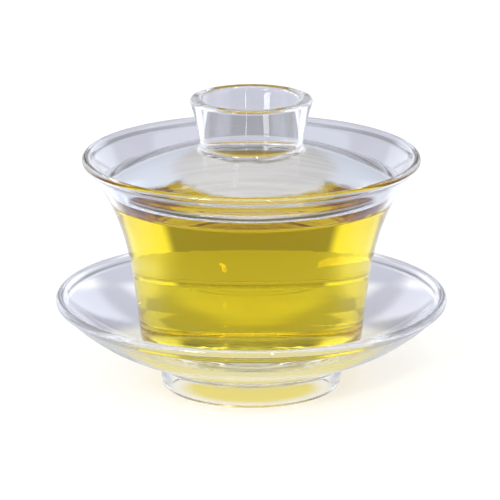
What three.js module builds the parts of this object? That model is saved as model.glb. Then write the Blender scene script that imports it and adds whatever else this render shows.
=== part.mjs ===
// A gaiwan: a lidded tea bowl of clear heat-proof glass on its saucer, with tea in it.
// Millimetres, +Z up. The origin is the centre of the saucer's foot, on the table.
// Each glass piece is one wall of glass turned about the bowl's axis, with a fire-polished bead at
// its rim. The open knob on the lid and the foot under the saucer are fused on in the flame.
import * as THREE from "three";

// Between pieces that rest on each other, and between the tea and the glass
const clearance = 0.3;

// Saucer
const saucerRadius = 58.8;
const saucerHeight = 27.7;
const saucerWall = 1.9;
const saucerBeadRadius = 1.35;
const saucerFloorThickness = 2.8;
const footRadius = 26.9;
const footHeight = 7.4;
const footWall = 3.0;
const footFlare = 0.5;
const footEdgeRound = 0.6;
const footFillet = 1.6;
const dishConeShare = 0.66;
const dishPower = 3.6;

// Bowl
const bowlRimRadius = 50.4;
const bowlHeight = 60.1;
const bowlWall = 1.6;
const bowlBeadRadius = 1.2;
const bowlBodyRadius = 33.5;
const bowlTaper = 5.4;
const bowlFlarePower = 3.4;
const bowlCornerRadius = 5.5;
const bowlFloorThickness = 3.2;
const bowlInnerCornerRadius = 5.0;
const bowlRecess = 0.8;
const bowlStandWidth = 5.0;

// Lid
const lidSeatDepth = 8.9;
const lidWall = 2.2;
const lidBeadRadius = 1.35;
const domeRise = 9.8;
const knobHeight = 14.1;
const knobRimRadius = 18.2;
const knobLipWidth = 4.1;
const knobLipRound = 0.9;
const knobMouthRound = 1.4;
const knobFlareHeight = 3.2;
const knobWall = 1.3;
const knobFillet = 2.2;
const knobBoreFillet = 1.5;

// Tea, which stands this far below the lid's edge
const teaFreeboard = 2.8;

// Facets round each turned piece, and steps along the lines of the profiles
const turnSteps = 56;
const wallSteps = 12;
const dishSteps = 9;
const domeSteps = 6;
const knobSteps = 4;
const beadSteps = 6;
const cornerSteps = 3;

const halfTurn = Math.PI;
const quarterTurn = Math.PI / 2;

// A point of a profile: its distance from the axis and its height.
function point(radius, height) {
  return new THREE.Vector2(radius, height);
}

// Points along an arc about a centre, both ends included.
function arc(centre, radius, startAngle, endAngle, steps) {
  const angles = evenly(startAngle, endAngle, steps);
  return angles.map((angle) => point(centre.x + radius * Math.cos(angle), centre.y + radius * Math.sin(angle)));
}

// Values from start to end in even steps, both ends included.
function evenly(start, end, steps) {
  return Array.from({ length: steps + 1 }, (unused, step) => start + (end - start) * step / steps);
}

// A corner rounded between a point before it and a point after it.
function rounded(before, corner, after) {
  return new THREE.QuadraticBezierCurve(before, corner, after).getPoints(cornerSteps);
}

// The bead at the end of a wall that arrives in a given direction, anticlockwise from face to face.
function bead(centre, radius, wall, direction) {
  const sweep = halfTurn - Math.asin(wall / 2 / radius);
  return arc(centre, radius, direction - sweep, direction + sweep, beadSteps);
}

// Clear glass with the faint grey of its edges.
function glass() {
  return new THREE.MeshStandardMaterial({
    color: 0xe4e6ec,
    roughness: 0.03,
    metalness: 0,
    transparent: true,
    opacity: 0.3,
    side: THREE.DoubleSide,
  });
}

// Green tea, a clear yellow liquor.
function liquor() {
  return new THREE.MeshStandardMaterial({
    color: 0xd8c42a,
    roughness: 0.02,
    metalness: 0,
    transparent: true,
    opacity: 0.8,
  });
}

// A piece turned about the axis from a profile that starts and ends on it.
function turned(name, profile, material) {
  const mesh = new THREE.Mesh(new THREE.LatheGeometry(profile, turnSteps), material);
  mesh.name = name;
  return mesh;
}

// The saucer's dish is a shallow cone that turns up towards the rim. Shares run along the middle of
// its wall from the foot to the rim, and a distance above that middle is square to the glass.
const dishStart = point(footRadius + footFlare, footHeight + saucerWall / 2);
const dishEnd = point(saucerRadius - saucerBeadRadius, saucerHeight - saucerBeadRadius);
const dishRun = dishEnd.x - dishStart.x;
const dishRise = dishEnd.y - dishStart.y;

function dishSlope(share) {
  return dishRise / dishRun * (dishConeShare + (1 - dishConeShare) * dishPower * share ** (dishPower - 1));
}

function dishPoint(share, above) {
  const riseShare = dishConeShare * share + (1 - dishConeShare) * share ** dishPower;
  const slope = dishSlope(share);
  const length = Math.hypot(1, slope);
  return point(
    dishStart.x + dishRun * share - above * slope / length,
    dishStart.y + dishRise * riseShare + above / length,
  );
}

// The floor inside meets the upper face of the dish at this circle.
const saucerFloorHeight = footHeight + saucerFloorThickness;
const dishFaceStart = dishPoint(0, saucerWall / 2);
const floorEdge = point(
  dishFaceStart.x + (saucerFloorHeight - dishFaceStart.y) / dishSlope(0),
  saucerFloorHeight,
);

function makeSaucer() {
  const footInner = footRadius - footWall;
  const flarePerHeight = footFlare / footHeight;
  const junction = dishPoint(0, -saucerWall / 2);
  const shares = evenly(0, 1, dishSteps).slice(1, -1);
  const upperFace = shares.map((share) => dishPoint(share, saucerWall / 2));
  return turned("saucer", [
    point(0, footHeight),
    ...rounded(
      point(footInner - footFillet, footHeight),
      point(footInner, footHeight),
      point(footInner, footHeight - footFillet),
    ),
    ...rounded(
      point(footInner, footEdgeRound),
      point(footInner, 0),
      point(footInner + footEdgeRound, 0),
    ),
    ...rounded(
      point(footRadius - footEdgeRound, 0),
      point(footRadius, 0),
      point(footRadius + flarePerHeight * footEdgeRound, footEdgeRound),
    ),
    ...rounded(
      point(junction.x - flarePerHeight * footFillet, junction.y - footFillet),
      junction,
      dishPoint(footFillet / dishRun, -saucerWall / 2),
    ),
    ...shares.map((share) => dishPoint(share, -saucerWall / 2)),
    ...bead(dishEnd, saucerBeadRadius, saucerWall, Math.atan(dishSlope(1))),
    ...upperFace.filter((place) => place.x > floorEdge.x + footFillet / 2).reverse(),
    floorEdge,
    point(0, saucerFloorHeight),
  ], glass());
}

// The bowl stands on the saucer's floor, or its rounded corner on the dish, whichever it meets first.
const standOuter = bowlBodyRadius - bowlCornerRadius;
const dishUnderCorner = dishFaceStart.y + dishSlope(0) * (standOuter - dishFaceStart.x);
const cornerOnDish = dishUnderCorner + (bowlCornerRadius + clearance) * Math.hypot(1, dishSlope(0));
const bowlBase = Math.max(saucerFloorHeight + clearance, cornerOnDish - bowlCornerRadius);
const bowlFloor = bowlBase + bowlRecess + bowlFloorThickness;
const bowlTop = bowlBase + bowlHeight;

// Its wall is almost upright at the foot and flares like a trumpet to the rim. Heights are those of
// the middle of the wall, and a distance outside that middle is square to the glass.
const wallStart = point(bowlBodyRadius - bowlWall / 2, bowlBase + bowlCornerRadius);
const wallEnd = point(bowlRimRadius - bowlBeadRadius, bowlTop - bowlBeadRadius);
const bowlFlare = wallEnd.x - wallStart.x - bowlTaper;

function bowlSlope(height) {
  const share = (height - wallStart.y) / (wallEnd.y - wallStart.y);
  const flareSlope = bowlFlare * bowlFlarePower * share ** (bowlFlarePower - 1);
  return (bowlTaper + flareSlope) / (wallEnd.y - wallStart.y);
}

function bowlPoint(height, outside) {
  const share = (height - wallStart.y) / (wallEnd.y - wallStart.y);
  const slope = bowlSlope(height);
  const length = Math.hypot(1, slope);
  return point(
    wallStart.x + bowlTaper * share + bowlFlare * share ** bowlFlarePower + outside / length,
    height - outside * slope / length,
  );
}

// The inner corner and the inner face of the wall, drawn in by a margin, up to a height.
function bowlInside(margin, top, steps) {
  const cornerTop = bowlFloor + bowlInnerCornerRadius;
  const cornerSide = bowlPoint(cornerTop, -bowlWall / 2).x;
  const centre = point(cornerSide - bowlInnerCornerRadius, cornerTop);
  const heights = evenly(cornerTop, top, steps).slice(1);
  return [
    ...arc(centre, bowlInnerCornerRadius - margin, -quarterTurn, 0, cornerSteps),
    ...heights.map((height) => bowlPoint(height, -bowlWall / 2 - margin)),
  ];
}

function makeBowl() {
  const standInner = standOuter - bowlStandWidth;
  const heights = evenly(wallStart.y, wallEnd.y, wallSteps).slice(1, -1);
  const rimDirection = quarterTurn - Math.atan(bowlSlope(wallEnd.y));
  return turned("bowl", [
    point(0, bowlBase + bowlRecess),
    point(standInner - bowlRecess, bowlBase + bowlRecess),
    point(standInner, bowlBase),
    ...arc(point(standOuter, wallStart.y), bowlCornerRadius, -quarterTurn, 0, cornerSteps),
    ...heights.map((height) => bowlPoint(height, bowlWall / 2)),
    ...bead(wallEnd, bowlBeadRadius, bowlWall, rimDirection),
    ...bowlInside(0, heights.at(-1), wallSteps - 2).reverse(),
    point(0, bowlFloor),
  ], glass());
}

// The lid's edge rests on the flare of the bowl, and its dome is a cap of a sphere. Distances above
// the dome are from the middle of its wall.
const lidEdge = bowlPoint(bowlTop - lidSeatDepth, -bowlWall / 2 - clearance - lidBeadRadius);
const domeRadius = (lidEdge.x ** 2 + domeRise ** 2) / (2 * domeRise);
const domeCentre = point(0, lidEdge.y + domeRise - domeRadius);

function domeLine(above, startRadius, endRadius, steps) {
  const radius = domeRadius + above;
  return arc(domeCentre, radius, Math.acos(startRadius / radius), Math.acos(endRadius / radius), steps);
}

function makeLid() {
  const outerRadius = domeRadius + lidWall / 2;
  const crown = domeCentre.y + outerRadius;
  const top = crown + knobHeight;
  const lip = point(knobRimRadius - knobLipRound, top - knobLipRound);
  const bore = knobRimRadius - knobLipWidth;
  const mouth = point(bore + knobMouthRound, top - knobMouthRound);
  const boreFoot = domeCentre.y + Math.sqrt(outerRadius ** 2 - bore ** 2);
  const waist = bore + knobWall;

  // The fillet round the knob's foot touches the waist and the dome.
  const filletRadius = waist + knobFillet;
  const filletHeight = Math.sqrt((outerRadius + knobFillet) ** 2 - filletRadius ** 2);
  const filletEnd = halfTurn + Math.atan2(filletHeight, filletRadius);
  const filletCentre = point(filletRadius, domeCentre.y + filletHeight);
  const fillet = arc(filletCentre, knobFillet, halfTurn, filletEnd, cornerSteps);

  // The outside of the knob leaves its waist upright and flares to touch the round of its lip.
  const flareTurn = point(waist, filletCentre.y + knobFlareHeight);
  const toLip = lip.clone().sub(flareTurn);
  const lean = Math.atan2(toLip.x, toLip.y) + Math.asin(knobLipRound / toLip.length());
  const lipEdge = arc(lip, knobLipRound, quarterTurn, -lean, cornerSteps);
  const flare = new THREE.QuadraticBezierCurve(
    lipEdge.at(-1),
    flareTurn,
    point(waist, filletCentre.y),
  ).getPoints(knobSteps).slice(1, -1);

  const edgeDirection = -Math.asin(lidEdge.x / domeRadius);
  const edge = bead(lidEdge, lidBeadRadius, lidWall, edgeDirection).reverse();
  return turned("lid", [
    point(0, crown),
    ...rounded(
      point(bore - knobBoreFillet, boreFoot),
      point(bore, boreFoot),
      point(bore, boreFoot + knobBoreFillet),
    ),
    ...arc(mouth, knobMouthRound, halfTurn, quarterTurn, cornerSteps),
    ...lipEdge,
    ...flare,
    ...fillet,
    ...domeLine(lidWall / 2, fillet.at(-1).x, edge[0].x, domeSteps).slice(1, -1),
    ...edge,
    ...domeLine(-lidWall / 2, edge.at(-1).x, 0, domeSteps).slice(1),
  ].reverse(), glass());
}

// The tea fills the bowl to just under the lid's edge. The top of its side is found by stepping
// along the wall, because the face leans.
function makeTea() {
  const level = lidEdge.y - lidBeadRadius - teaFreeboard;
  let sideTop = level;
  for (let step = 0; step < wallSteps; step += 1) {
    sideTop += level - bowlPoint(sideTop, -bowlWall / 2 - clearance).y;
  }
  return turned("tea", [
    point(0, bowlFloor + clearance),
    ...bowlInside(clearance, sideTop, wallSteps - 2),
    point(0, level),
  ], liquor());
}

// The profiles are turned about Y, so the pieces lie in a group that stands Y up.
const standing = new THREE.Group();
standing.rotation.x = quarterTurn;
standing.add(makeSaucer(), makeBowl(), makeLid(), makeTea());

const gaiwan = new THREE.Group();
gaiwan.name = "gaiwan";
gaiwan.add(standing);

export default gaiwan;
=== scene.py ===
# The look of a gaiwan: a lidded tea bowl of clear glass on its saucer, filled with green tea.
# Everything is in metres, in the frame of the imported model: +Z up, the origin under the saucer's foot.
import math

import bpy
import numpy as np
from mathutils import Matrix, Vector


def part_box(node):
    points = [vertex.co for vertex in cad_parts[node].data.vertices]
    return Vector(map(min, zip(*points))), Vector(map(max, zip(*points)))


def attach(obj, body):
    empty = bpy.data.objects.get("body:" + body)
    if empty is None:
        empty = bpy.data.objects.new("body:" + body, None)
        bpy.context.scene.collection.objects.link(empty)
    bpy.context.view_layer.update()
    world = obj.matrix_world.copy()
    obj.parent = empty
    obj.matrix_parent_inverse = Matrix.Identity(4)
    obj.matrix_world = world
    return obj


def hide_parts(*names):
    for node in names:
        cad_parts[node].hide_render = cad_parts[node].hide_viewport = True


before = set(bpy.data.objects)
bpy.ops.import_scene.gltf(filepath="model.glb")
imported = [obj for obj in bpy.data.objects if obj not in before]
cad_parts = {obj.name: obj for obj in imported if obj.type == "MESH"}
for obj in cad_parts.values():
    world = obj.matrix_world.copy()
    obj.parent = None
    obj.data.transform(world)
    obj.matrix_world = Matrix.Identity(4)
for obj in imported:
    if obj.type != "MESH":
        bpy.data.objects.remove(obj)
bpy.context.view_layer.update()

# Saucer: one piece of clear borosilicate glass, a shallow dish turned on the lathe in the flame. Its
# rim is melted to a round bead, and a short length of tube is fused on underneath as its foot.
mm = 0.001
saucer_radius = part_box("saucer")[1][0]
saucer_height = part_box("saucer")[1][2]
saucer_wall = 1.9 * mm
saucer_bead_radius = 1.35 * mm
saucer_floor_thickness = 2.8 * mm
foot_radius = 26.9 * mm
foot_height = 7.4 * mm
foot_wall = 3.0 * mm
foot_flare = 0.5 * mm
foot_edge_round = 0.6 * mm
foot_fillet = 1.6 * mm
fillet_reach = 1.2 * foot_fillet
floor_fillet = 3.0 * mm
dish_cone_share = 0.66
dish_power = 3.6
gather_length = 1.6
turn_steps = 256
curve_steps = 48
corner_steps = 10
bead_steps = 20


def point(radius, height):
    """One point of a profile, by its distance from the axis and its height."""
    return np.array([[radius, height]])


def arc(centre, radius, start, end, steps):
    """Points of a circle in the plane of the profile: the centre plus radius * (cos, sin) of even angles."""
    angles = np.linspace(start, end, steps + 1)
    return centre + radius * np.column_stack((np.cos(angles), np.sin(angles)))


def rounded(before, corner, after, steps=corner_steps):
    """A quadratic Bezier curve: (1 - t)^2 * before + 2 t (1 - t) * corner + t^2 * after, t from 0 to 1."""
    t = np.linspace(0, 1, steps + 1)[:, None]
    return (1 - t) ** 2 * before + 2 * t * (1 - t) * corner + t ** 2 * after


def half_wall(left, wall, bead_radius):
    """Half a wall's thickness, where `left` is how far along the wall its rim still is: it grows from
    half the wall to the rim's radius, with a smooth start and end, as the melted glass draws back."""
    t = np.clip(1 - left / (gather_length * bead_radius), 0, 1)
    return wall / 2 + (bead_radius - wall / 2) * t * t * (3 - 2 * t)


def half_round(centre, radius, direction):
    """The half circle that ends a wall which arrives in a direction, anticlockwise from face to face."""
    return arc(centre, radius, direction - math.pi / 2, direction + math.pi / 2, bead_steps)[1:-1]


def turned(name, profile, slots=None):
    """A closed surface of revolution: each point (r, z) of the profile goes to (r cos a, r sin a, z) at
    even angles a. The profile starts and ends on the axis, where a fan of triangles closes it. `slots`
    gives the material's place for each span of the profile. The UV map holds the angle's share of a
    turn and the length along the profile, for patterns that follow the lathe."""
    angles = np.linspace(0, 2 * math.pi, turn_steps, endpoint=False)
    rings = profile[1:-1]
    places = np.empty((len(rings), turn_steps, 3))
    places[:, :, 0] = rings[:, :1] * np.cos(angles)
    places[:, :, 1] = rings[:, :1] * np.sin(angles)
    places[:, :, 2] = rings[:, 1:]
    vertices = np.vstack(([[0, 0, profile[0, 1]]], places.reshape(-1, 3), [[0, 0, profile[-1, 1]]]))

    turn = np.arange(turn_steps)
    onward = (turn + 1) % turn_steps
    row = 1 + turn_steps * np.arange(len(rings) - 1)[:, None]
    quads = np.stack((row + turn, row + onward, row + onward + turn_steps, row + turn + turn_steps), -1)
    last_row = 1 + turn_steps * (len(rings) - 1)
    first_fan = np.column_stack((np.zeros(turn_steps, int), 1 + onward, 1 + turn))
    last_fan = np.column_stack((np.full(turn_steps, len(vertices) - 1), last_row + turn, last_row + onward))
    faces = [*first_fan.tolist(), *quads.reshape(-1, 4).tolist(), *last_fan.tolist()]

    mesh = bpy.data.meshes.new(name)
    mesh.from_pydata(vertices.tolist(), [], faces)
    mesh.polygons.foreach_set("use_smooth", np.ones(len(faces), bool))
    if slots is not None:
        mesh.polygons.foreach_set("material_index", np.repeat(slots, turn_steps).astype(np.int32))

    lengths = np.concatenate(([0], np.cumsum(np.hypot(*np.diff(profile, axis=0).T))))
    corners = np.empty(len(mesh.loops), np.int32)
    mesh.loops.foreach_get("vertex_index", corners)
    along = np.concatenate(([lengths[0]], np.repeat(lengths[1:-1], turn_steps), [lengths[-1]]))
    around = np.concatenate(([0], np.tile(turn / turn_steps, len(rings)), [0]))
    places_on_map = np.column_stack((around[corners], along[corners]))
    mesh.uv_layers.new(name="lathe").data.foreach_set("uv", places_on_map.astype(np.float32).ravel())
    mesh.update()

    piece = bpy.data.objects.new(name, mesh)
    bpy.context.scene.collection.objects.link(piece)
    return piece


dish_start = np.array([foot_radius + foot_flare, foot_height + saucer_wall / 2])
dish_end = np.array([saucer_radius - saucer_bead_radius, saucer_height - saucer_bead_radius])
dish_run, dish_rise = dish_end - dish_start


def dish_slope(share):
    """The dish's slope: rise / run * (cone share + (1 - cone share) * power * share ^ (power - 1))."""
    steepening = (1 - dish_cone_share) * dish_power * share ** (dish_power - 1)
    return dish_rise / dish_run * (dish_cone_share + steepening)


def dish_line(share, above):
    """Points beside the middle of the dish's wall, which is a cone plus a power of the share of the way
    from the foot to the rim, so that it turns up at the rim. `above` is square to the glass."""
    rise = dish_rise * (dish_cone_share * share + (1 - dish_cone_share) * share ** dish_power)
    slope = dish_slope(share)
    length = np.hypot(1, slope)
    radius = dish_start[0] + dish_run * share - above * slope / length
    return np.column_stack((radius, dish_start[1] + rise + above / length))


saucer_floor_height = foot_height + saucer_floor_thickness
dish_face_start = dish_line(np.array([0.0]), saucer_wall / 2)[0]
floor_edge_radius = dish_face_start[0] + (saucer_floor_height - dish_face_start[1]) / dish_slope(0)
foot_inner = foot_radius - foot_wall
flare_per_height = foot_flare / foot_height
foot_junction = dish_line(np.array([0.0]), -saucer_wall / 2)
dish_shares = np.linspace(0, 1, 2 * curve_steps)
dish_left = (1 - dish_shares) * np.hypot(dish_run, dish_rise)
dish_half_wall = half_wall(dish_left, saucer_wall, saucer_bead_radius)
upper_face = dish_line(dish_shares, dish_half_wall)
lower_face = dish_line(dish_shares, -dish_half_wall)
floor_fillet_end = floor_edge_radius + floor_fillet
upper_face = upper_face[upper_face[:, 0] > floor_fillet_end][::-1]
saucer_profile = np.vstack((
    point(0, foot_height),
    rounded(
        point(foot_inner - foot_fillet, foot_height),
        point(foot_inner, foot_height),
        point(foot_inner, foot_height - foot_fillet),
    ),
    rounded(
        point(foot_inner, foot_edge_round),
        point(foot_inner, 0),
        point(foot_inner + foot_edge_round, 0),
    ),
    rounded(
        point(foot_radius - foot_edge_round, 0),
        point(foot_radius, 0),
        point(foot_radius + flare_per_height * foot_edge_round, foot_edge_round),
    ),
    rounded(
        foot_junction - np.array([flare_per_height * foot_fillet, foot_fillet]),
        foot_junction,
        dish_line(np.array([foot_fillet / dish_run]), -saucer_wall / 2),
    ),
    lower_face[lower_face[:, 0] > foot_junction[0, 0] + fillet_reach],
    half_round(dish_end, saucer_bead_radius, math.atan(dish_slope(1))),
    upper_face,
    rounded(
        upper_face[-1:],
        point(floor_edge_radius, saucer_floor_height),
        point(floor_edge_radius - floor_fillet, saucer_floor_height),
    )[1:],
    point(0, saucer_floor_height),
))


def linear(hex_colour):
    """A colour written in sRGB hex, as linear numbers with an alpha of 1: each channel c becomes
    ((c + 0.055) / 1.055) ^ 2.4, or c / 12.92 where it is darkest."""
    channels = [int(hex_colour[place:place + 2], 16) / 255 for place in (1, 3, 5)]
    straight = [c / 12.92 if c <= 0.04045 else ((c + 0.055) / 1.055) ** 2.4 for c in channels]
    return (*straight, 1.0)


def add(tree, kind, inputs, **settings):
    """Adds a node: `settings` are its own properties, and `inputs` holds a number, a colour or another
    node's output for each socket, by the socket's name or place."""
    node = tree.nodes.new(kind)
    for name, value in settings.items():
        setattr(node, name, value)
    for socket, value in inputs.items():
        if isinstance(value, bpy.types.NodeSocket):
            tree.links.new(value, node.inputs[socket])
        else:
            node.inputs[socket].default_value = value
    return node


def empty_material(name):
    """A new material whose node tree is empty."""
    material = bpy.data.materials.new(name)
    material.use_nodes = True
    material.node_tree.nodes.clear()
    return material


# Lamp-worked borosilicate glass is colourless and fire-polished, so it shows only by what it bends and
# mirrors: fine rings that the lathe leaves, and a slow unevenness where it was blown by hand.
colourless = linear("#FFFFFF")
borosilicate_ior = 1.47
ring_spacing = 2.2 * mm
ring_depth = 0.006 * mm
unevenness_size = 22 * mm
unevenness_depth = 0.05 * mm


def glass(name, ior):
    """Clear glass. Its bump adds rings, a noise along the profile alone, to a slow noise in space."""
    material = empty_material(name)
    tree = material.node_tree
    lathe = add(tree, "ShaderNodeUVMap", {}, uv_map="lathe")
    along = add(tree, "ShaderNodeSeparateXYZ", {"Vector": lathe.outputs["UV"]})
    rings = add(tree, "ShaderNodeTexNoise", {
        "W": along.outputs["Y"], "Scale": 1 / ring_spacing, "Detail": 1.0,
    }, noise_dimensions="1D")
    place = add(tree, "ShaderNodeTexCoord", {})
    uneven = add(tree, "ShaderNodeTexNoise", {
        "Vector": place.outputs["Object"], "Scale": 1 / unevenness_size, "Detail": 1.0,
    })
    slow = add(tree, "ShaderNodeBump", {
        "Height": uneven.outputs["Fac"], "Distance": unevenness_depth, "Strength": 1.0,
    })
    ringed = add(tree, "ShaderNodeBump", {
        "Height": rings.outputs["Fac"], "Distance": ring_depth, "Strength": 1.0,
        "Normal": slow.outputs["Normal"],
    })
    surface = add(tree, "ShaderNodeBsdfPrincipled", {
        "Base Color": colourless, "Roughness": 0.0, "IOR": ior, "Transmission Weight": 1.0,
        "Normal": ringed.outputs["Normal"],
    })
    add(tree, "ShaderNodeOutputMaterial", {"Surface": surface.outputs["BSDF"]})
    return material


clear_glass = glass("clear_borosilicate_glass", borosilicate_ior)
saucer = turned("saucer_look", saucer_profile)
saucer.data.materials.append(clear_glass)
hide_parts("saucer")
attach(saucer, "saucer")

# Bowl: clear borosilicate tube, closed to a thick flat base that stands on a low ring, its wall almost
# upright and then flared like a trumpet on the lathe, with the rim melted to a bead.
bowl_rim_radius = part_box("bowl")[1][0]
bowl_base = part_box("bowl")[0][2]
bowl_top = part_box("bowl")[1][2]
bowl_wall = 1.6 * mm
bowl_bead_radius = 1.2 * mm
bowl_body_radius = 33.5 * mm
bowl_taper = 5.4 * mm
bowl_flare_power = 3.4
bowl_corner_radius = 5.5 * mm
bowl_floor_thickness = 3.2 * mm
bowl_inner_corner_radius = 5.0 * mm
bowl_recess = 0.8 * mm
bowl_stand_width = 5.0 * mm

stand_outer = bowl_body_radius - bowl_corner_radius
stand_inner = stand_outer - bowl_stand_width
bowl_floor = bowl_base + bowl_recess + bowl_floor_thickness
wall_start = np.array([bowl_body_radius - bowl_wall / 2, bowl_base + bowl_corner_radius])
wall_end = np.array([bowl_rim_radius - bowl_bead_radius, bowl_top - bowl_bead_radius])
wall_rise = wall_end[1] - wall_start[1]
bowl_flare = wall_end[0] - wall_start[0] - bowl_taper


def wall_slope(height):
    """How far the bowl's wall leans outwards for each unit of height."""
    share = (height - wall_start[1]) / wall_rise
    return (bowl_taper + bowl_flare * bowl_flare_power * share ** (bowl_flare_power - 1)) / wall_rise


def wall_line(height, outside):
    """Points beside the middle of the bowl's wall, whose radius grows by an even taper plus a power of
    the share of the height. `outside` is square to the glass, away from the axis."""
    share = (height - wall_start[1]) / wall_rise
    slope = wall_slope(height)
    length = np.hypot(1, slope)
    radius = wall_start[0] + bowl_taper * share + bowl_flare * share ** bowl_flare_power
    return np.column_stack((radius + outside / length, height - outside * slope / length))


def bowl_inside(margin, heights):
    """The round corner inside the bowl, then its inner face at the given heights, drawn in by a margin."""
    corner_top = np.array([bowl_floor + bowl_inner_corner_radius])
    corner_side = wall_line(corner_top, -bowl_wall / 2)[0, 0]
    centre = np.array([corner_side - bowl_inner_corner_radius, corner_top[0]])
    corner = arc(centre, bowl_inner_corner_radius - np.min(margin), -math.pi / 2, 0, 2 * corner_steps)
    return np.vstack((corner, wall_line(heights, -bowl_wall / 2 - margin)))


tea_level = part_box("tea")[1][2]
inner_heights = np.linspace(bowl_floor + bowl_inner_corner_radius, wall_end[1], 2 * curve_steps)[1:]
outer_heights = np.linspace(wall_start[1], wall_end[1], 2 * curve_steps)[1:]


def bowl_half_wall(heights):
    """Half the bowl's wall at each height, thickening to the rim."""
    left = (wall_end[1] - heights) * math.hypot(1, wall_slope(wall_end[1]))
    return half_wall(left, bowl_wall, bowl_bead_radius)


bowl_profile = np.vstack((
    point(0, bowl_base + bowl_recess),
    rounded(
        point(stand_inner - 2 * bowl_recess, bowl_base + bowl_recess),
        point(stand_inner - bowl_recess / 2, bowl_base + bowl_recess),
        point(stand_inner, bowl_base + bowl_recess / 2),
    ),
    rounded(
        point(stand_inner, bowl_base + bowl_recess / 2),
        point(stand_inner + bowl_recess / 2, bowl_base),
        point(stand_inner + 2 * bowl_recess, bowl_base),
    )[1:],
    arc([stand_outer, wall_start[1]], bowl_corner_radius, -math.pi / 2, 0, 2 * corner_steps),
    wall_line(outer_heights, bowl_half_wall(outer_heights)),
    half_round(wall_end, bowl_bead_radius, math.pi / 2 - math.atan(wall_slope(wall_end[1]))),
    bowl_inside(bowl_half_wall(inner_heights) - bowl_wall / 2, inner_heights)[::-1],
    point(0, bowl_floor),
))

# Glass that tea wets bends light by the ratio of the two, so the tea seems to reach the outer face.
tea_ior = 1.333
wetted_glass = glass("borosilicate_glass_wetted_by_tea", borosilicate_ior / tea_ior)
span_middles = (bowl_profile[1:] + bowl_profile[:-1]) / 2
is_inside = np.arange(len(span_middles)) > np.argmax(bowl_profile[:, 1])
is_wetted = is_inside & (span_middles[:, 1] < tea_level)
bowl = turned("bowl_look", bowl_profile, is_wetted.astype(int))
bowl.data.materials.append(clear_glass)
bowl.data.materials.append(wetted_glass)
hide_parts("bowl")
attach(bowl, "bowl")

# Tea: green tea, a clear yellow liquor that fills the bowl to just under the lid and climbs the glass
# a little at its edge. It is held by the bowl alone.
tea_gap = 0.3 * mm
meniscus_height = 1.2 * mm
meniscus_reach = 5.0 * mm
meniscus_decay = 1.6 * mm
side_heights = np.linspace(bowl_floor + bowl_inner_corner_radius, tea_level, curve_steps)[1:]
tea_side = bowl_inside(tea_gap, side_heights)
tea_edge = tea_side[-1]
meniscus_steps = np.linspace(0, 1, curve_steps)[1:] * meniscus_reach
meniscus_drop = meniscus_height * (1 - np.exp(-meniscus_steps / meniscus_decay))
meniscus = np.column_stack((tea_edge[0] - meniscus_steps, tea_edge[1] - meniscus_drop))
tea_profile = np.vstack((
    point(0, bowl_floor + tea_gap),
    tea_side,
    meniscus,
    point(0, meniscus[-1, 1]),
))

# The brewed leaf gives a clear liquor that takes out blue first: pale lemon where it is shallow and
# olive gold where it is deep. Its sides lie on the glass and show nothing of their own.
liquor_colour = linear("#FBF406")
liquor_strength = 66.0
tea_top_material = empty_material("green_tea_surface")
tea_side_material = empty_material("green_tea_against_glass")
for material, ior in ((tea_top_material, tea_ior), (tea_side_material, 1.0)):
    tree = material.node_tree
    surface = add(tree, "ShaderNodeBsdfPrincipled", {
        "Base Color": colourless, "Roughness": 0.0, "IOR": ior, "Transmission Weight": 1.0,
    })
    volume = add(tree, "ShaderNodeVolumeAbsorption", {"Color": liquor_colour, "Density": liquor_strength})
    add(tree, "ShaderNodeOutputMaterial", {
        "Surface": surface.outputs["BSDF"], "Volume": volume.outputs["Volume"],
    })
is_top = np.arange(len(tea_profile) - 1) >= len(tea_side)
tea = turned("tea_look", tea_profile, (~is_top).astype(int))
tea.data.materials.append(tea_top_material)
tea.data.materials.append(tea_side_material)
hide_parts("tea")
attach(tea, "bowl")

# Lid: a low dome of clear borosilicate glass with a beaded edge. An open length of tube, flared to a
# thick rolled lip, is fused on its crown as the knob, and the dome itself is the floor inside it. The
# edge rests where the bowl's flare is as wide as it is, `lid_seat_depth` below the bowl's rim.
lid_seat_depth = 8.9 * mm
lid_gap = 0.3 * mm
lid_bead_radius = 1.35 * mm
lid_wall = 2.2 * mm
dome_rise = 9.8 * mm
knob_rim_radius = 18.2 * mm
knob_lip_width = 4.1 * mm
knob_lip_round = 0.9 * mm
knob_mouth_round = 1.4 * mm
knob_flare_height = 3.2 * mm
knob_wall = 1.3 * mm
knob_fillet = 2.2 * mm
knob_bore_fillet = 1.5 * mm

lid_seat = np.array([bowl_top - lid_seat_depth])
lid_edge = wall_line(lid_seat, -bowl_wall / 2 - lid_gap - lid_bead_radius)[0]
dome_radius = (lid_edge[0] ** 2 + dome_rise ** 2) / (2 * dome_rise)
dome_centre = np.array([0, lid_edge[1] + dome_rise - dome_radius])
dome_outer = dome_radius + lid_wall / 2
dome_inner = dome_radius - lid_wall / 2
knob_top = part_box("lid")[1][2]
lip = np.array([knob_rim_radius - knob_lip_round, knob_top - knob_lip_round])
bore = knob_rim_radius - knob_lip_width
mouth = np.array([bore + knob_mouth_round, knob_top - knob_mouth_round])
bore_foot = dome_centre[1] + math.sqrt(dome_outer ** 2 - bore ** 2)
crown = dome_centre[1] + dome_outer
waist = bore + knob_wall
fillet_radius = waist + knob_fillet
fillet_height = math.sqrt((dome_outer + knob_fillet) ** 2 - fillet_radius ** 2)
fillet_end = math.pi + math.atan2(fillet_height, fillet_radius)
fillet_centre = np.array([fillet_radius, dome_centre[1] + fillet_height])
knob_foot = arc(fillet_centre, knob_fillet, math.pi, fillet_end, 2 * corner_steps)

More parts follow.
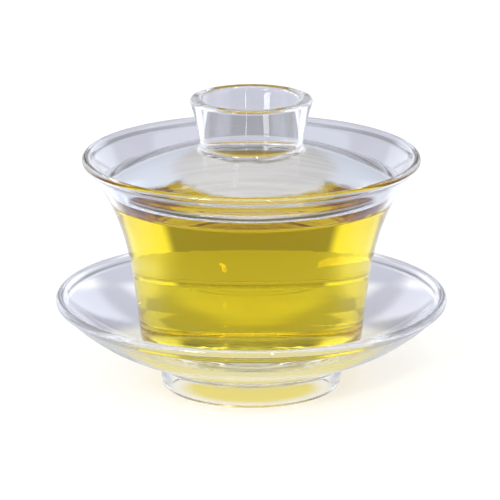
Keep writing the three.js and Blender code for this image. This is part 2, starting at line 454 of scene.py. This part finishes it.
# The flare's line leaves the waist upright and touches the round of the lip: `flare_turn` is where the
# tangents at its two ends meet, and `flare_lean` is the lean of the upper one.
flare_turn = np.array([waist, fillet_centre[1] + knob_flare_height])
to_lip = lip - flare_turn
flare_lean = math.atan2(to_lip[0], to_lip[1]) + math.asin(knob_lip_round / math.hypot(*to_lip))
lip_arc = arc(lip, knob_lip_round, math.pi / 2, -flare_lean, bead_steps)
knob_flare = rounded(lip_arc[-1:], flare_turn[None, :], point(waist, fillet_centre[1]), curve_steps)

# Both faces of the dome are half its wall from one circle, and the wall thickens towards its edge.
lid_share = np.linspace(0, 1, 2 * curve_steps)
dome_start = math.acos(knob_foot[-1, 0] / dome_radius)
dome_end = math.acos(lid_edge[0] / dome_radius)
edge_left = (1 - lid_share) * dome_radius * (dome_start - dome_end)
lid_half_wall = half_wall(edge_left, lid_wall, lid_bead_radius)[:, None]
dome_angles = dome_start + (dome_end - dome_start) * lid_share[:, None]
dome_middle = np.hstack((np.cos(dome_angles), np.sin(dome_angles)))
dome_top = dome_centre + (dome_radius + lid_half_wall) * dome_middle
dome_underside = dome_centre + (dome_radius - lid_half_wall) * dome_middle
crown_start = math.acos(dome_underside[0, 0] / dome_inner)
crown_underside = arc(dome_centre, dome_inner, crown_start, math.pi / 2, curve_steps)
lid_profile = np.vstack((
    point(0, crown),
    rounded(
        point(bore - knob_bore_fillet, bore_foot),
        point(bore, bore_foot),
        point(bore, bore_foot + knob_bore_fillet),
    ),
    arc(mouth, knob_mouth_round, math.pi, math.pi / 2, bead_steps),
    lip_arc,
    knob_flare[1:-1],
    knob_foot,
    dome_top[1:],
    half_round(lid_edge, lid_bead_radius, -math.asin(lid_edge[0] / dome_radius))[::-1],
    dome_underside[::-1],
    crown_underside[1:],
))[::-1]

# Steam settles under the front of the lid as a mist of droplets too fine to see singly. It scatters
# light like ground glass: a disc in the middle, grey with painted shade in faint streaks, and whiter
# to both sides with painted light. The front edge, the back and the crown under the knob have run clear.
mist_shaded_grey = linear("#E8E8E9")
mist_darker_shaded_grey = linear("#DBDBDE")
mist_lit_white = linear("#EEF4FF")
mist_share = 0.97
mist_through_share = 0.05
mist_disc_centre = (1 * mm, -11 * mm, 0)
mist_disc_radius = 23 * mm
mist_sides_front = -21 * mm
mist_back = 8.5 * mm
mist_half_width = 40 * mm
mist_crown_radius = 14 * mm
mist_border = 1.6 * mm
mist_fade = 3 * mm
mist_grain = 6 * mm
mist_wander = 2.5 * mm
mist_streak_length = 24 * mm
mist_streak_width = 2.0 * mm
streaks_start = 0.3
streaks_end = 0.7
noise_middle = (0.5, 0.5, 0.5)
misted_glass = empty_material("borosilicate_glass_misted_by_steam")
tree = misted_glass.node_tree


def blended(tree, value, start, end, first, second):
    """A colour that turns smoothly from the first to the second as a value goes from start to end."""
    share = add(tree, "ShaderNodeMapRange", {
        "Value": value, "From Min": start, "From Max": end,
    }, interpolation_type="SMOOTHSTEP")
    return add(tree, "ShaderNodeMix", {
        "Factor": share.outputs["Result"], "A": first, "B": second,
    }, data_type="RGBA").outputs["Result"]


# `flat` is the place seen from above, moved a little by a noise so that the mist's borders are ragged.
place = add(tree, "ShaderNodeTexCoord", {}).outputs["Object"]
grain = add(tree, "ShaderNodeTexNoise", {"Vector": place, "Scale": 1 / mist_grain, "Detail": 3.0})
wander = add(tree, "ShaderNodeVectorMath", {
    0: grain.outputs["Color"], 1: noise_middle,
}, operation="SUBTRACT").outputs["Vector"]
ragged = add(tree, "ShaderNodeVectorMath", {
    0: wander, 1: (2 * mist_wander, 2 * mist_wander, 0), 2: place,
}, operation="MULTIPLY_ADD").outputs["Vector"]
flat = add(tree, "ShaderNodeVectorMath", {0: ragged, 1: (1, 1, 0)}, operation="MULTIPLY").outputs["Vector"]
flat_parts = add(tree, "ShaderNodeSeparateXYZ", {"Vector": flat})
from_disc = add(tree, "ShaderNodeVectorMath", {
    0: flat, 1: mist_disc_centre,
}, operation="DISTANCE").outputs["Value"]
from_axis = add(tree, "ShaderNodeVectorMath", {0: flat}, operation="LENGTH").outputs["Value"]

# The mist ends behind at a parabola: mist_back * (1 - (x / mist_half_width)^2).
across = add(tree, "ShaderNodeMath", {
    0: flat_parts.outputs["X"], 1: mist_half_width,
}, operation="DIVIDE").outputs[0]
squared = add(tree, "ShaderNodeMath", {0: across, 1: across}, operation="MULTIPLY").outputs[0]
drawn_in = add(tree, "ShaderNodeMath", {0: 1.0, 1: squared}, operation="SUBTRACT").outputs[0]
back_line = add(tree, "ShaderNodeMath", {0: drawn_in, 1: mist_back}, operation="MULTIPLY").outputs[0]
before_back = add(tree, "ShaderNodeMath", {
    0: back_line, 1: flat_parts.outputs["Y"],
}, operation="SUBTRACT").outputs[0]

# The mist is where it is in the disc or in the sides, and in front of its back line and off the crown.
shares = []
for value, start, end in (
    (from_disc, mist_disc_radius + mist_border, mist_disc_radius - mist_border),
    (flat_parts.outputs["Y"], mist_sides_front - mist_border, mist_sides_front + mist_border),
    (before_back, -mist_border, mist_border),
    (from_axis, mist_crown_radius - mist_border, mist_crown_radius + mist_border),
):
    share = add(tree, "ShaderNodeMapRange", {
        "Value": value, "From Min": start, "From Max": end,
    }, interpolation_type="SMOOTHSTEP")
    shares.append(share.outputs["Result"])
in_disc, in_sides, in_front, off_crown = shares
mist = add(tree, "ShaderNodeMath", {0: in_disc, 1: in_sides}, operation="MAXIMUM").outputs[0]
for share in (in_front, off_crown, mist_share):
    mist = add(tree, "ShaderNodeMath", {0: mist, 1: share}, operation="MULTIPLY").outputs[0]

streaked = add(tree, "ShaderNodeVectorMath", {
    0: place, 1: (1 / mist_streak_length, 1 / mist_streak_width, 0),
}, operation="MULTIPLY").outputs["Vector"]
streaks = add(tree, "ShaderNodeTexNoise", {"Vector": streaked, "Scale": 1.0, "Detail": 2.0}).outputs["Fac"]
# The disc's grey, darker in streaks, is painted shade, and the white outside it is painted light.
grey = blended(tree, streaks, streaks_start, streaks_end, mist_darker_shaded_grey, mist_shaded_grey)
fade_start = mist_disc_radius - mist_fade
fade_end = mist_disc_radius + mist_fade
mist_colour = blended(tree, from_disc, fade_start, fade_end, grey, mist_lit_white)
glassy = add(tree, "ShaderNodeBsdfPrincipled", {
    "Base Color": colourless, "Roughness": 0.0, "IOR": borosilicate_ior, "Transmission Weight": 1.0,
})
lit_above = add(tree, "ShaderNodeBsdfDiffuse", {"Color": mist_colour})
lit_below = add(tree, "ShaderNodeBsdfTranslucent", {"Color": mist_colour})
droplets = add(tree, "ShaderNodeMixShader", {
    0: mist_through_share, 1: lit_above.outputs["BSDF"], 2: lit_below.outputs["BSDF"],
})
surface = add(tree, "ShaderNodeMixShader", {
    0: mist, 1: glassy.outputs["BSDF"], 2: droplets.outputs["Shader"],
})
add(tree, "ShaderNodeOutputMaterial", {"Surface": surface.outputs["Shader"]})

underside_spans = len(dome_underside) + len(crown_underside) - 2
is_misted = np.arange(len(lid_profile) - 1) < underside_spans
lid = turned("lid_look", lid_profile, is_misted.astype(int))
lid.data.materials.append(clear_glass)
lid.data.materials.append(misted_glass)
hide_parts("lid")
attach(lid, "lid")

# Table: a plain pale sheet that the gaiwan stands on. It gives off a little light of its own, a painted
# glow, as if lit from below, though it is no lamp. The camera sees it white, with the gaiwan's shadow.
# Glass sees its painted light and shade, and a stronger painted glow under the saucer.
table_size = 2000 * mm
table_white = linear("#FDFDFD")

# Glass sees painted light and shade here: yellow tea light inside the foot, white light round it, and
# under the saucer yellow tea light in front, white light behind and shade at the sides. Further out the
# table is lavender grey, with painted light on its brighter sides and painted shade making it grey in front.
table_tea_lit = linear("#EBDD84")
table_near_lit = linear("#F6F4F0")
table_tea_lit_front = linear("#E8DE9C")
table_shaded = linear("#D0D1D4")
table_lit_through = linear("#FFFFF6")
table_around = linear("#CACCDB")
table_behind = linear("#C6C8D4")
table_lit_aside = linear("#F6F8FD")
table_shaded_front = linear("#8E8F97")
table_glow_share = 0.3
lit_through_share = 0.9

# Distances from the gaiwan's axis.
tea_lit_start = 16 * mm
tea_lit_end = 23 * mm
near_start = 24 * mm
near_end = 30 * mm
shaded_start = 55 * mm
shaded_end = 65 * mm
bright_start = 100 * mm
bright_end = 110 * mm
far_start = 135 * mm
far_end = 150 * mm

# Directions from the axis, by their angle from straight behind the gaiwan.
under_side_start = math.radians(55)
under_side_end = math.radians(75)
tea_lit_front_start = math.radians(95)
tea_lit_front_end = math.radians(120)
glimpse_start = math.radians(8)
glimpse_full = math.radians(12)
glimpse_fade = math.radians(23)
glimpse_end = math.radians(27)
near_side_start = math.radians(25)
near_side_end = math.radians(31)
far_side_start = math.radians(13)
far_side_end = math.radians(27)
front_start = math.radians(85)
front_end = math.radians(115)

table_mesh = bpy.data.meshes.new("table")
table_corners = table_size / 2 * np.array([(-1, -1), (1, -1), (1, 1), (-1, 1)])
table_mesh.from_pydata([(x, y, 0) for x, y in table_corners], [], [(0, 1, 2, 3)])
table = bpy.data.objects.new("table", table_mesh)
bpy.context.scene.collection.objects.link(table)
table_material = empty_material("plain_pale_table")
tree = table_material.node_tree


def angle_from_back(tree, vector):
    """The angle between +Y and a direction, both seen from above, from 0 behind to pi in front."""
    parts = add(tree, "ShaderNodeSeparateXYZ", {"Vector": vector})
    turn = add(tree, "ShaderNodeMath", {0: parts.outputs["X"], 1: parts.outputs["Y"]}, operation="ARCTAN2")
    return add(tree, "ShaderNodeMath", {0: turn.outputs[0]}, operation="ABSOLUTE").outputs[0]


place = add(tree, "ShaderNodeTexCoord", {}).outputs["Object"]
aside = angle_from_back(tree, place)
away = add(tree, "ShaderNodeVectorMath", {0: place}, operation="LENGTH").outputs["Value"]
far = blended(tree, aside, far_side_start, far_side_end, table_behind, table_lit_aside)
# Two patches of painted light stand close behind the saucer, one to each side.
glimpsed = blended(tree, aside, glimpse_start, glimpse_full, table_around, table_lit_aside)
glimpsed = blended(tree, aside, glimpse_fade, glimpse_end, glimpsed, table_around)
beyond = blended(tree, aside, near_side_start, near_side_end, table_around, table_lit_aside)
beyond = blended(tree, away, bright_start, bright_end, glimpsed, beyond)
beyond = blended(tree, away, far_start, far_end, beyond, far)
beyond = blended(tree, aside, front_start, front_end, beyond, table_shaded_front)
under = blended(tree, aside, under_side_start, under_side_end, table_lit_through, table_shaded)
under = blended(tree, aside, tea_lit_front_start, tea_lit_front_end, under, table_tea_lit_front)
colour = blended(tree, away, tea_lit_start, tea_lit_end, table_tea_lit, table_near_lit)
colour = blended(tree, away, near_start, near_end, colour, under)
colour = blended(tree, away, shaded_start, shaded_end, colour, beyond)
sight = add(tree, "ShaderNodeLightPath", {})
shown = add(tree, "ShaderNodeMix", {
    "Factor": sight.outputs["Is Camera Ray"], "A": colour, "B": table_white,
}, data_type="RGBA")
# The glow is painted light: the table gives off part of its colour as light, more under the saucer.
glow_share = add(tree, "ShaderNodeMapRange", {
    "Value": away, "From Min": shaded_start, "From Max": shaded_end,
    "To Min": lit_through_share, "To Max": table_glow_share,
})
shown_share = add(tree, "ShaderNodeMix", {
    "Factor": sight.outputs["Is Camera Ray"], "A": glow_share.outputs["Result"], "B": table_glow_share,
})
matt = add(tree, "ShaderNodeBsdfDiffuse", {"Color": shown.outputs["Result"]})
glow = add(tree, "ShaderNodeEmission", {"Color": shown.outputs["Result"], "Strength": 1.0})
lit = add(tree, "ShaderNodeMixShader", {
    0: shown_share.outputs["Result"], 1: matt.outputs["BSDF"], 2: glow.outputs["Emission"],
})
add(tree, "ShaderNodeOutputMaterial", {"Surface": lit.outputs["Shader"]})
table_mesh.materials.append(table_material)

# Studio: an even white surround for the camera and for the light on matt things. Glass sees what
# stands around it: a low grey backdrop between two bright windows, a grey wall beside each, all dark
# above, then a lamp to each side, a dim room in front and a bright ceiling.
plain_white = linear("#FFFFFF")
backdrop_colour = linear("#ABACB5")
backdrop_top_colour = linear("#2E2F36")
window_colour = linear("#EEF3FF")
shade_colour = linear("#55565C")
room_colour = linear("#A8A9B0")
front_colour = linear("#63646C")
window_strength = 1.5
side_light_strength = 1.35
ceiling_strength = 3.0

# Directions, by their angle from straight behind the gaiwan.
window_start = math.radians(20)
window_end = math.radians(50)
side_light_start = math.radians(88)
side_light_end = math.radians(130)
window_blur = math.radians(2)
light_blur = math.radians(5)

# Heights are the sines of elevations above the table.
backdrop_top_start = math.sin(math.radians(9))
backdrop_top_end = math.sin(math.radians(13))
shade_start = math.sin(math.radians(26))
shade_full = math.sin(math.radians(34))
ceiling_start = math.sin(math.radians(60))
ceiling_full = math.sin(math.radians(72))

world = bpy.data.worlds.new("studio")
bpy.context.scene.world = world
world.use_nodes = True
tree = world.node_tree
tree.nodes.clear()


def light_of(colour, strength):
    """A linear colour at a strength."""
    return (*(strength * channel for channel in colour[:3]), 1.0)


window_light = light_of(window_colour, window_strength)
side_light = light_of(window_colour, side_light_strength)
ceiling_light = light_of(window_colour, ceiling_strength)
direction = add(tree, "ShaderNodeTexCoord", {}).outputs["Generated"]
height = add(tree, "ShaderNodeSeparateXYZ", {"Vector": direction}).outputs["Z"]
aside = angle_from_back(tree, direction)
seen = blended(tree, height, backdrop_top_start, backdrop_top_end, backdrop_colour, backdrop_top_colour)
seen = blended(tree, aside, window_start - window_blur, window_start + window_blur, seen, window_light)
seen = blended(tree, aside, window_end - light_blur, window_end + light_blur, seen, room_colour)
seen = blended(tree, height, shade_start, shade_full, seen, shade_colour)
seen = blended(tree, aside, side_light_start - light_blur, side_light_start + light_blur, seen, side_light)
seen = blended(tree, aside, side_light_end - light_blur, side_light_end + light_blur, seen, front_colour)
seen = blended(tree, height, ceiling_start, ceiling_full, seen, ceiling_light)

# The camera sees the plain white, and so does light on its way from a matt thing, also through glass.
seen_by = add(tree, "ShaderNodeLightPath", {})
is_plain = add(tree, "ShaderNodeMath", {
    0: seen_by.outputs["Is Camera Ray"], 1: seen_by.outputs["Diffuse Depth"],
}, operation="MAXIMUM", use_clamp=True)
shown = add(tree, "ShaderNodeMix", {
    "Factor": is_plain.outputs[0], "A": seen, "B": plain_white,
}, data_type="RGBA")
surround = add(tree, "ShaderNodeBackground", {"Color": shown.outputs["Result"], "Strength": 1.0})
add(tree, "ShaderNodeOutputWorld", {"Surface": surround.outputs["Background"]})


def softbox(name, azimuth, elevation, distance, width, height, power):
    """A lamp behind a rectangular diffuser that faces the gaiwan. Azimuth is from the camera's side,
    towards +X, in degrees, as elevation is above the table."""
    light = bpy.data.lights.new(name, "AREA")
    light.shape = "RECTANGLE"
    light.size = width
    light.size_y = height
    light.energy = power
    lamp = bpy.data.objects.new(name, light)
    across = math.radians(azimuth)
    up = math.radians(elevation)
    lamp.location = (
        distance * math.cos(up) * math.sin(across),
        -distance * math.cos(up) * math.cos(across),
        distance * math.sin(up),
    )
    lamp.rotation_euler = (math.pi / 2 - up, 0, across)
    bpy.context.scene.collection.objects.link(lamp)


softbox("softbox_right", azimuth=13, elevation=35, distance=1.2, width=0.04, height=0.5, power=2)
softbox("softbox_left", azimuth=-37, elevation=35, distance=1.2, width=0.25, height=0.5, power=4)

# Camera: a long lens a metre away, looking down on the gaiwan as in the photograph. Its frame is
# shifted so that the gaiwan's axis stands in its column of the picture.
camera_distance = 1000 * mm
camera_height = 329.6 * mm
camera_pitch = 0.281
camera_reach = 20.0
sensor_width = 36.0
picture_pixels = 500
focal_pixels = 3470.3
axis_column = 251.3
camera_data = bpy.data.cameras.new("camera")
camera_data.sensor_width = sensor_width
camera_data.lens = focal_pixels / picture_pixels * sensor_width
camera_data.shift_x = (picture_pixels / 2 - axis_column) / picture_pixels
camera_data.clip_end = camera_reach
camera = bpy.data.objects.new("camera", camera_data)
camera.location = (0, -camera_distance, camera_height)
camera.rotation_euler = (math.pi / 2 - camera_pitch, 0, 0)
bpy.context.scene.collection.objects.link(camera)
bpy.context.scene.camera = camera

# Light goes round inside a bead of glass many times before it leaves, and a rim turns dark where the
# bounces run out.
glass_bounces = 128
scene = bpy.context.scene
scene.view_settings.view_transform = "Standard"
scene.cycles.max_bounces = glass_bounces
scene.cycles.transmission_bounces = glass_bounces
scene.cycles.glossy_bounces = glass_bounces
scene.cycles.blur_glossy = 0.0
